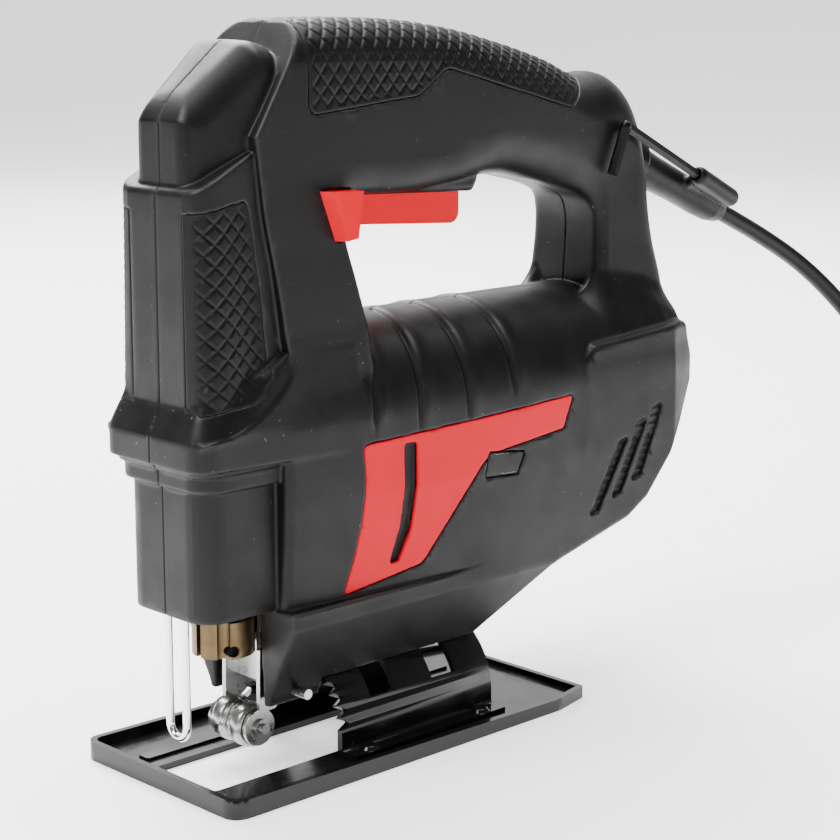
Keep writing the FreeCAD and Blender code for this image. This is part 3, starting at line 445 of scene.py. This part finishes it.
def arc_corner(before, corner, after, radius, parts=6):
    """Points of a rounded corner between two straight runs."""
    b = np.subtract(before, corner) / np.hypot(*np.subtract(before, corner))
    a = np.subtract(after, corner) / np.hypot(*np.subtract(after, corner))
    half = math.acos(float(np.clip(a @ b, -1, 1))) / 2
    start, end = corner + b * radius / math.tan(half), corner + a * radius / math.tan(half)
    centre = corner + (a + b) / np.hypot(*(a + b)) * radius / math.sin(half)
    first = math.atan2(*(start - centre)[::-1])
    turn = (math.atan2(*(end - centre)[::-1]) - first + math.pi) % (2 * math.pi) - math.pi
    return [tuple(centre + radius * np.array((math.cos(first + turn * k / parts),
                                              math.sin(first + turn * k / parts))))
            for k in range(parts + 1)]


def rounded(corners):
    """Closed outline whose (u, v, radius) corners are rounded."""
    result = []
    count = len(corners)
    for i, corner in enumerate(corners):
        if len(corner) == 3:
            result += arc_corner(corners[i - 1][:2], corner[:2], corners[(i + 1) % count][:2],
                                 corner[2])
        else:
            result.append(corner)
    return result


def plan(cells, half_outline):
    """Distance to an outline seen from above, given for the left side."""
    return polygon(mirrored(rounded([(-80, 0)] + half_outline)[1:-1]), cells.x, cells.y)


def handle_loop(cells):
    x, y, z = cells.x, cells.y, cells.z
    side = np.maximum(polygon(spline_outline(HANDLE_OUTER), x, z),
                      -polygon(spline_outline(FINGER_GAP), x, z))
    top = np.interp(x, (-200, -184, -171, -151, -116, -84, -60), (13, 14.5, 15.5, 17, 18, 18.5, 19))
    front = np.interp(z, (58, 100, 128, 150, 180), (25, 23.8, 21.0, 19.6, 19.0))
    rear = np.interp(z, (98, 126, 140, 154, 180), (19, 16.5, 15.5, 15, 14))
    behind = ramp_between(-x, 100, 130)
    upper = ramp_between(z, 150, 176)
    half = ((front * (1 - behind) + rear * behind) * (1 - upper) + top * upper).astype(np.float32)
    inner = ramp_between(x, -186, -178) * (1 - ramp_between(z, 150, 166))
    radius = 4.0 + 5.5 * behind * (1 - inner) + (8.5 - 3.0 * behind) * ramp_between(z, 156, 186)
    return both(side, y - half, radius.astype(np.float32))


def barrel(cells):
    x, y, z = cells.x, cells.y, cells.z
    half = np.interp(x, *zip(*BODY_HALF)).astype(np.float32)
    out = y + (29.0 - half)
    slope = math.atan2(2.6, 35)
    flank = np.maximum(out - 29.0, (out - 29.0) * math.cos(slope)
                       + (BODY_AXIS_Z - 20 - z) * math.sin(slope))
    above = np.hypot(out, np.maximum(z - BODY_AXIS_Z, 0)) - 29.0
    section = np.maximum(flank, above)
    for ring in RINGS:
        heights = [p[1] for p in ring]
        at = np.interp(z, heights, [p[0] for p in ring])
        fade = ramp_between(z, heights[0] - 4, heights[0] + 5)
        section = section + fade * (0.95 * np.exp(-((x - at) / 0.75) ** 2)
                                    - 0.45 * np.exp(-((x - at + 2.6) / 2.4) ** 2) * (x < at + 2))
    limit = polygon(BODY_SIDE, x, z)
    body = both(section.astype(np.float32), limit, 2.2)
    cheek_side = polygon([(-146, 80), (-146, 106.9), (-151.5, 111.8), (-195, 114.6), (-210, 112),
                          (-210, 80)], x, z)
    cheek = both(both(cheek_side, out - 28.5, 1.6), limit, 2.2)
    return either(body, cheek, 1.2)


def nose(cells):
    """Head, collar, grip column and dome in front of the handle loop."""
    x, y, z = cells.x, cells.y, cells.z
    lower = both(plan(cells, [(-48, 18.2), (-5.0, 18.2, 8.0), (-3.9, 0)]),
                 np.abs(z - 72.5) - 22.9, 0.8)
    band = both(plan(cells, [(-48, 20.6), (-3.6, 20.4, 8.0), (-2.4, 0)]),
                np.abs(z - 92.0) - 5.0, 0.8)
    lip = both(plan(cells, [(-48, 21.4), (-2.4, 21.2, 7.0), (-1.4, 0)]),
               np.abs(z - 94.5) - 2.7, 0.8)
    collar_plan = plan(cells, [(-60, 24.9), (-37, 24.4, 20), (-0.6, 22.2, 6.5), (-0.1, 0)])
    collar = both(collar_plan + 0.17 * np.maximum(z - 101.7, 0), np.abs(z - 108) - 14.6, 0.6)
    visor = polygon(spline_outline(VISOR), x, z)
    rise = np.minimum(np.maximum(-collar_plan, 0), 7) * (1 - ramp_between(z, 116, 124))
    collar = without(collar, visor + 2.0 * rise, 0.7)
    top_plan = plan(cells, [(-48, 17.0), (-26, 17.0, 8), (-13, 18.0, 5), (-6.0, 18.0, 5),
                            (-4.4, 11.9, 1.2), (-3.3, 0)])
    foot_plan = plan(cells, [(-48, 18.0), (-27, 18.0, 8), (-13, 19.9, 5), (-5.6, 19.9, 5.5),
                             (-4.2, 11.9, 1.2), (-3.1, 0)])
    low = np.clip((165 - z) / 55, 0, 1)
    column = top_plan * (1 - low) + foot_plan * low
    ledge_top = z - (167.2 - (x + 3) * 0.49)
    column = both(both(column, ledge_top * 0.9, 1.2), 95 - z)
    dome_plan = plan(cells, [(-60, 15.6), (-28, 15.4, 22), (-4.9, 11.2, 5), (-3.6, 0)])
    dome_side = polygon(rounded([(-60, 150), (-3.6, 150), (-3.6, 187.4, 3), (-28.5, 207.6, 6),
                                 (-36, 205.6, 4), (-46, 192), (-60, 186)]), x, z)
    dome_side = dome_side + 0.004 * y * y * ramp_between(z, 178, 192)
    dome = both(dome_plan, dome_side, 7.5)
    pieces = either(either(collar, column, 1.0), either(lower, either(band, lip)), 0.5)
    return either(pieces, dome, 0.6), visor


def skirt(cells):
    x, y, z = cells.x, cells.y, cells.z
    section = polygon([(-5, 19.5), (13.2, 19.5), (14.2, 22.5), (26.2, 45), (26.2, 50), (-5, 50)],
                      y, z)
    side = polygon([(-29, 52), (-30.5, 19.5), (-104, 19.5), (-139, 46), (-139, 52)], x, z)
    shape = both(section, side, 0.8)
    drum = both(np.hypot(y, z - 8.0) - 22.9, np.abs(x + 81) - 31.8)
    return without(shape, drum)


def outer_form(cells):
    front, visor = nose(cells)
    body = without(handle_loop(cells), visor, 0.8)
    drum = barrel(cells)
    flank = np.maximum(ramp_between(cells.y, 8, 13), ramp_between(-cells.x, 169, 178))
    fillet = (0.8 + 8.0 * ramp_between(-cells.x, 135, 165) * flank).astype(np.float32)
    whole = either(body, drum, fillet)
    whole = either(whole, front, 0.7)
    hood = both(polygon(rounded([(-59, 176), (-59, 163.4), (-112.6, 161.2, 1.5),
                                 (-114.6, 164.5, 2), (-115.2, 176)]), cells.x, cells.z),
                cells.y - 13.6, 2.0)
    whole = either(whole, hood, 0.8)
    return either(whole, skirt(cells), 0.6).astype(np.float32)


# ---- regions let into the outer form: (x, z[, corner radius]) outlines ------------------------------
HANDLE_GRIP = [(-46, 240), (-43, 206, 8), (-43.2, 186.6, 3), (-85, 190.5, 4), (-97, 198, 5),
               (-152, 184.4, 3), (-157, 188, 3), (-164, 194, 2), (-166, 240)]
FRONT_GRIP = [(-4.4, 162), (-22, 165, 2), (-26, 140, 30), (-28, 118, 6), (-21, 110.5, 6),
              (-4.4, 108.5)]
PANEL = [(-56.8, 94.1, 1.5), (-57.6, 84), (-56.6, 72), (-54.2, 61), (-50.7, 50.6, 1),
         (-80, 55.3, 5), (-103.7, 84.5, 12), (-136.7, 88, 1), (-141, 98, 1)]
PANEL_SLOT = [(-71.7, 92.6, 1), (-76.6, 92.4, 1), (-76.8, 80), (-75.2, 67), (-71, 57.6, 1),
              (-67, 57, 1), (-70.6, 68), (-71.9, 80)]
LABEL_AREA = [(-104.4, 85.4, 1), (-119.8, 83.6, 1), (-116.5, 76.8, 1), (-102.7, 77.6, 1)]
LOCK = [(-47.6, 166, 1.5), (-59, 165.6, 0.5), (-57, 152.5, 1), (-52.5, 151.8, 1)]
VENTS = (((-165.2, 80.6), (-153.2, 57.6)), ((-173.9, 85.4), (-163.2, 61.8)),
         ((-181.4, 89.4), (-172.6, 66.2)))
SCREWS = ((-40, 176), (-126, 179), (-180, 140), (-187, 84), (-40, 120), (-12.5, 62), (-120, 60))
INLAY = 1.6             # depth of the panels and grips let into the wall
WALL = 2.8
SLOT_DEPTH, LOUVRE_DEPTH = 1.9, 1.3
RIB_HEIGHT, RIB_PITCH = 0.15, 2.4
SCREW_HOLE_RADIUS, SCREW_HEAD_Y = 3.6, 12.8


def region(cells, corners):
    return polygon(rounded(corners), cells.x, cells.z)


def louvre(cells, ends, half):
    (x0, z0), (x1, z1) = ends
    return region(cells, [(x0 - half, z0 + 0.8, 0.8), (x0 + half, z0 - 0.8, 0.8),
                          (x1 + half, z1 - 0.8, 0.8), (x1 - half, z1 + 0.8, 0.8)])


def grip_region(cells):
    return np.maximum(region(cells, HANDLE_GRIP), 2.5 - cells.y)


def front_region(cells):
    return np.maximum(region(cells, FRONT_GRIP), 11.6 - cells.y)


def diamonds(u, v, long, high, depth):
    """Depth of crossing V grooves that leave rhombic studs."""
    a, b = u / long + v / high, u / long - v / high
    near = np.minimum(np.abs(a - np.round(a)), np.abs(b - np.round(b)))
    return depth * np.clip(1 - near / 0.17, 0, 1)


def make_piece(name, cells, field, material, replaced=(), mirror=False, adapt=0.01,
               shade=None):
    """Mesh of the field's zero surface, with shading normals taken from the field's slope."""
    field = np.clip(field, -3, 3).astype(np.float32)
    shade = field if shade is None else np.clip(shade, -3, 3)
    grid = vdb.FloatGrid(3.0)
    grid.copyFromArray(np.ascontiguousarray(field))
    points, triangles, quads = grid.convertToPolygons(isovalue=0.0, adaptivity=adapt)
    cell = np.clip(points.astype(int), 0, np.array(field.shape) - 2)
    normals = np.stack([np.zeros(len(points))] * 3, axis=1)
    for axis in range(3):
        ahead, back = points.copy(), points.copy()
        ahead[:, axis] += 0.6
        back[:, axis] -= 0.6
        normals[:, axis] = sample(shade, ahead) - sample(shade, back)
    normals /= np.maximum(np.linalg.norm(normals, axis=1), 1e-9)[:, None]
    flip = -1 if mirror else 1
    spots = points * cells.step + np.array(cells.low)
    spots = (spots + (SHIFT, 0, 0)) * MM * (1, flip, 1)
    faces = [tuple(map(int, f)) for f in (*triangles, *quads)]
    if mirror:
        faces = [f[::-1] for f in faces]
    mesh = bpy.data.meshes.new(name)
    mesh.from_pydata([tuple(map(float, p)) for p in spots], [], faces)
    mesh.polygons.foreach_set("use_smooth", [True] * len(mesh.polygons))
    mesh.normals_split_custom_set_from_vertices([tuple(n) for n in normals * (1, flip, 1)])
    mesh.materials.append(material)
    piece = bpy.data.objects.new(name, mesh)
    bpy.context.collection.objects.link(piece)
    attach(piece, "housing")
    if replaced:
        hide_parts(*replaced)


def sample(field, points):
    """Trilinear reading of the field."""
    top = np.array(field.shape) - 1.001
    points = np.clip(points, 0, top)
    base = points.astype(int)
    part = points - base
    total = np.zeros(len(points))
    for corner in range(8):
        offset = np.array((corner >> 2 & 1, corner >> 1 & 1, corner & 1))
        weight = np.prod(np.where(offset, part, 1 - part), axis=1)
        i, j, k = (base + offset).T
        total += weight * field[i, j, k]
    return total


def add_housing():
    cells = Cells((-207, -1.2, 17), (2, 31, 215), 0.6 * FINE)
    form = outer_form(cells)
    shell = np.maximum(form, -(form + WALL))
    gap = 0.12
    pockets = np.maximum(np.minimum(grip_region(cells) - gap, front_region(cells) - 0.03),
                         -(form + INLAY))
    panel = np.minimum(region(cells, PANEL), region(cells, LABEL_AREA))
    pockets = np.minimum(pockets, np.maximum(np.maximum(panel - gap, -(form + INLAY)),
                                              8.0 - cells.y))
    for ends in VENTS:
        ribs = RIB_HEIGHT * np.cos(cells.z * 2 * math.pi / RIB_PITCH)
        pockets = np.minimum(pockets, np.maximum(
            np.maximum(louvre(cells, ends, 2.5), -(form + LOUVRE_DEPTH + ribs)),
            18 - cells.y))
    shell = np.maximum(shell, -pockets)
    shell = np.maximum(shell, -np.maximum(np.maximum(region(cells, PANEL_SLOT),
                                                     16 - cells.y), -(form + SLOT_DEPTH)))
    shell = np.maximum(shell, -np.maximum(region(cells, LOCK) - 0.35, 11.0 - cells.y))
    shell = np.maximum(shell, -block(cells, -113.6, -62.9, 7.1, 146, 171, 1.0))
    shell = np.maximum(shell, -block(cells, -47.5, -20, 11, 10, 50.5, 1.0))
    plunger = np.hypot(cells.x + 25, cells.y) - 5.0
    shell = np.maximum(shell, -np.maximum(plunger, np.abs(cells.z - 55) - 12))
    whole, shell = shell, np.maximum(shell, 0.08 - cells.y)
    holes = np.minimum.reduce([np.hypot(cells.x - x, cells.z - z) for x, z in SCREWS])
    holes -= SCREW_HOLE_RADIUS
    right = np.maximum(shell, -np.maximum(holes, SCREW_HEAD_Y - cells.y))
    make_piece("housing_left_skin", cells, shell, HOUSING, ["housing_left"],
               shade=whole)
    make_piece("housing_right_skin", cells, right, HOUSING,
               ["housing_right"], mirror=True, shade=np.where(cells.y > 3, right, whole))


def add_handle_grips():
    cells = Cells((-168, 1.5, 182), (-41, 20.5, 214), 0.42 * FINE)
    form = outer_form(cells)
    around = 15.0 * np.arctan2(cells.z - 189.0, cells.y)
    relief = diamonds(cells.x, around, 5.0, 4.2, 0.45)
    inside = grip_region(cells)
    relief = relief * np.clip((-inside - 1.2) / 0.6, 0, 1)
    field = np.maximum(both(form + 0.08 + relief, inside, 0.3), -(form + INLAY - 0.1))
    for name, mirror in (("left", False), ("right", True)):
        make_piece("handle_grip_" + name + "_skin", cells, field, GRIP,
                   ["handle_grip_" + name], mirror, adapt=0.0)


def add_front_grips():
    cells = Cells((-29.5, 10.5, 106.5), (-2.5, 21.5, 167), 0.36 * FINE)
    form = outer_form(cells)
    sweep = 14.0 * np.arctan2(cells.x + 19, cells.y - 3.2)
    relief = diamonds(sweep, cells.z, 4.9, 5.6, 0.45)
    inside = front_region(cells)
    relief = relief * np.clip((-inside - 0.4) / 2.5, 0, 1)
    field = np.maximum(np.maximum(form + 0.02 + relief, inside), -(form + INLAY - 0.1))
    for name, mirror in (("left", False), ("right", True)):
        make_piece("front_grip_" + name + "_skin", cells, field, GRIP,
                   ["front_grip_" + name], mirror, adapt=0.002)


def add_panels():
    cells = Cells((-143, 18, 48.5), (-48, 30.5, 100), 0.4 * FINE)
    form = outer_form(cells)
    inside = region(cells, PANEL)
    label = region(cells, LABEL_AREA)
    slot = region(cells, PANEL_SLOT)
    field = both(both(form + 0.12, inside, 0.4), -slot, 0.25)
    field = np.maximum(np.maximum(field, -label + 0.12), -(form + INLAY - 0.1))
    plate = np.maximum(both(form + 0.32, label + 0.1, 0.2), -(form + INLAY - 0.1))
    rim = np.maximum(np.maximum(form + 0.24, np.abs(label + 0.75) - 0.2), -(form + 0.9))
    for name, mirror in (("left", False), ("right", True)):
        make_piece("side_panel_" + name + "_skin", cells, field, RED_FLAT,
                   ["side_panel_" + name], mirror, adapt=0.002)
        make_piece("label_" + name + "_plate", cells, plate, LABEL,
                   ["label_plates"] if not mirror else (), mirror, adapt=0.002)
        make_piece("label_" + name + "_rim", cells, rim, RIM, (), mirror,
                   adapt=0.002)


def rod_field(cells, start, end, radius):
    run = np.subtract(end, start)
    away = [axis - value for axis, value in zip((cells.x, cells.y, cells.z), start)]
    t = np.clip(sum(d * r for d, r in zip(away, run)) / float(run @ run), 0, 1)
    return np.sqrt(sum((d - r * t) ** 2 for d, r in zip(away, run))) - radius


def add_cord_guard():
    cells = Cells((-262, -11, 132), (-190, 26, 184), 0.45 * FINE)
    along_x, along_z = cells.x - GUARD_START[0], cells.z - GUARD_START[1]
    out = -along_x * math.cos(GUARD_SLOPE) - along_z * math.sin(GUARD_SLOPE)
    up = -along_x * math.sin(GUARD_SLOPE) + along_z * math.cos(GUARD_SLOPE)
    radial = np.hypot(up, cells.y)
    swell = np.interp(out, (-4, 3.6, 6.2, 14, 28, 42, 49, 54, 56),
                      (8.5, 8.3, 6.4, 5.9, 5.5, 5.7, 5.5, 4.4, 4.0))
    body = both(radial - swell, np.abs(out - 26) - 29, 1.5)
    key_run = np.array((-1, -0.15, -0.414)) / math.hypot(1, 0.15, 0.414)
    corner = np.array((-176.0, 18.0, 177.8))
    near, far = corner + key_run * 48, corner + key_run * 76
    holder = rod_field(cells, near + key_run * 2.4, far - key_run * 3.2, 3.2)
    web = np.minimum.reduce([rod_field(cells, guard_point(29 + 2 * i),
                                       near + key_run * (4 + 2 * i), 2.2) for i in range(12)])
    field = either(either(body, web, 1.5), holder, 1.2)
    bore = rod_field(cells, near - key_run * 4, near + key_run * 18, 1.85)
    field = np.maximum(np.maximum(field, -bore), 3.05 - radial)
    make_piece("cord_guard_skin", cells, field, RUBBER, ["cord_guard"],
               adapt=0.003)


add_housing()
add_handle_grips()
add_front_grips()
add_panels()
add_cord_guard()


# ---- small edge breaks on the moulded and pressed CAD parts ----------------------------------
EDGE_BREAKS = {"trigger": 0.0009, "lock_button": 0.0006, "base_plate": 0.0005,
               "bevel_bracket": 0.0003, "guide_roller": 0.0005, "roller_fork": 0.0003,
               "plug_body": 0.001}


def soften(node, width):
    weld = node.modifiers.new("weld", "WELD")
    weld.merge_threshold = 1e-5
    edge = node.modifiers.new("edge", "BEVEL")
    edge.width, edge.segments = width, 2
    edge.limit_method, edge.angle_limit = "ANGLE", math.radians(38)
    edge.harden_normals = True


for cad_name, cad_width in EDGE_BREAKS.items():
    soften(frame["nodes"][cad_name], cad_width)
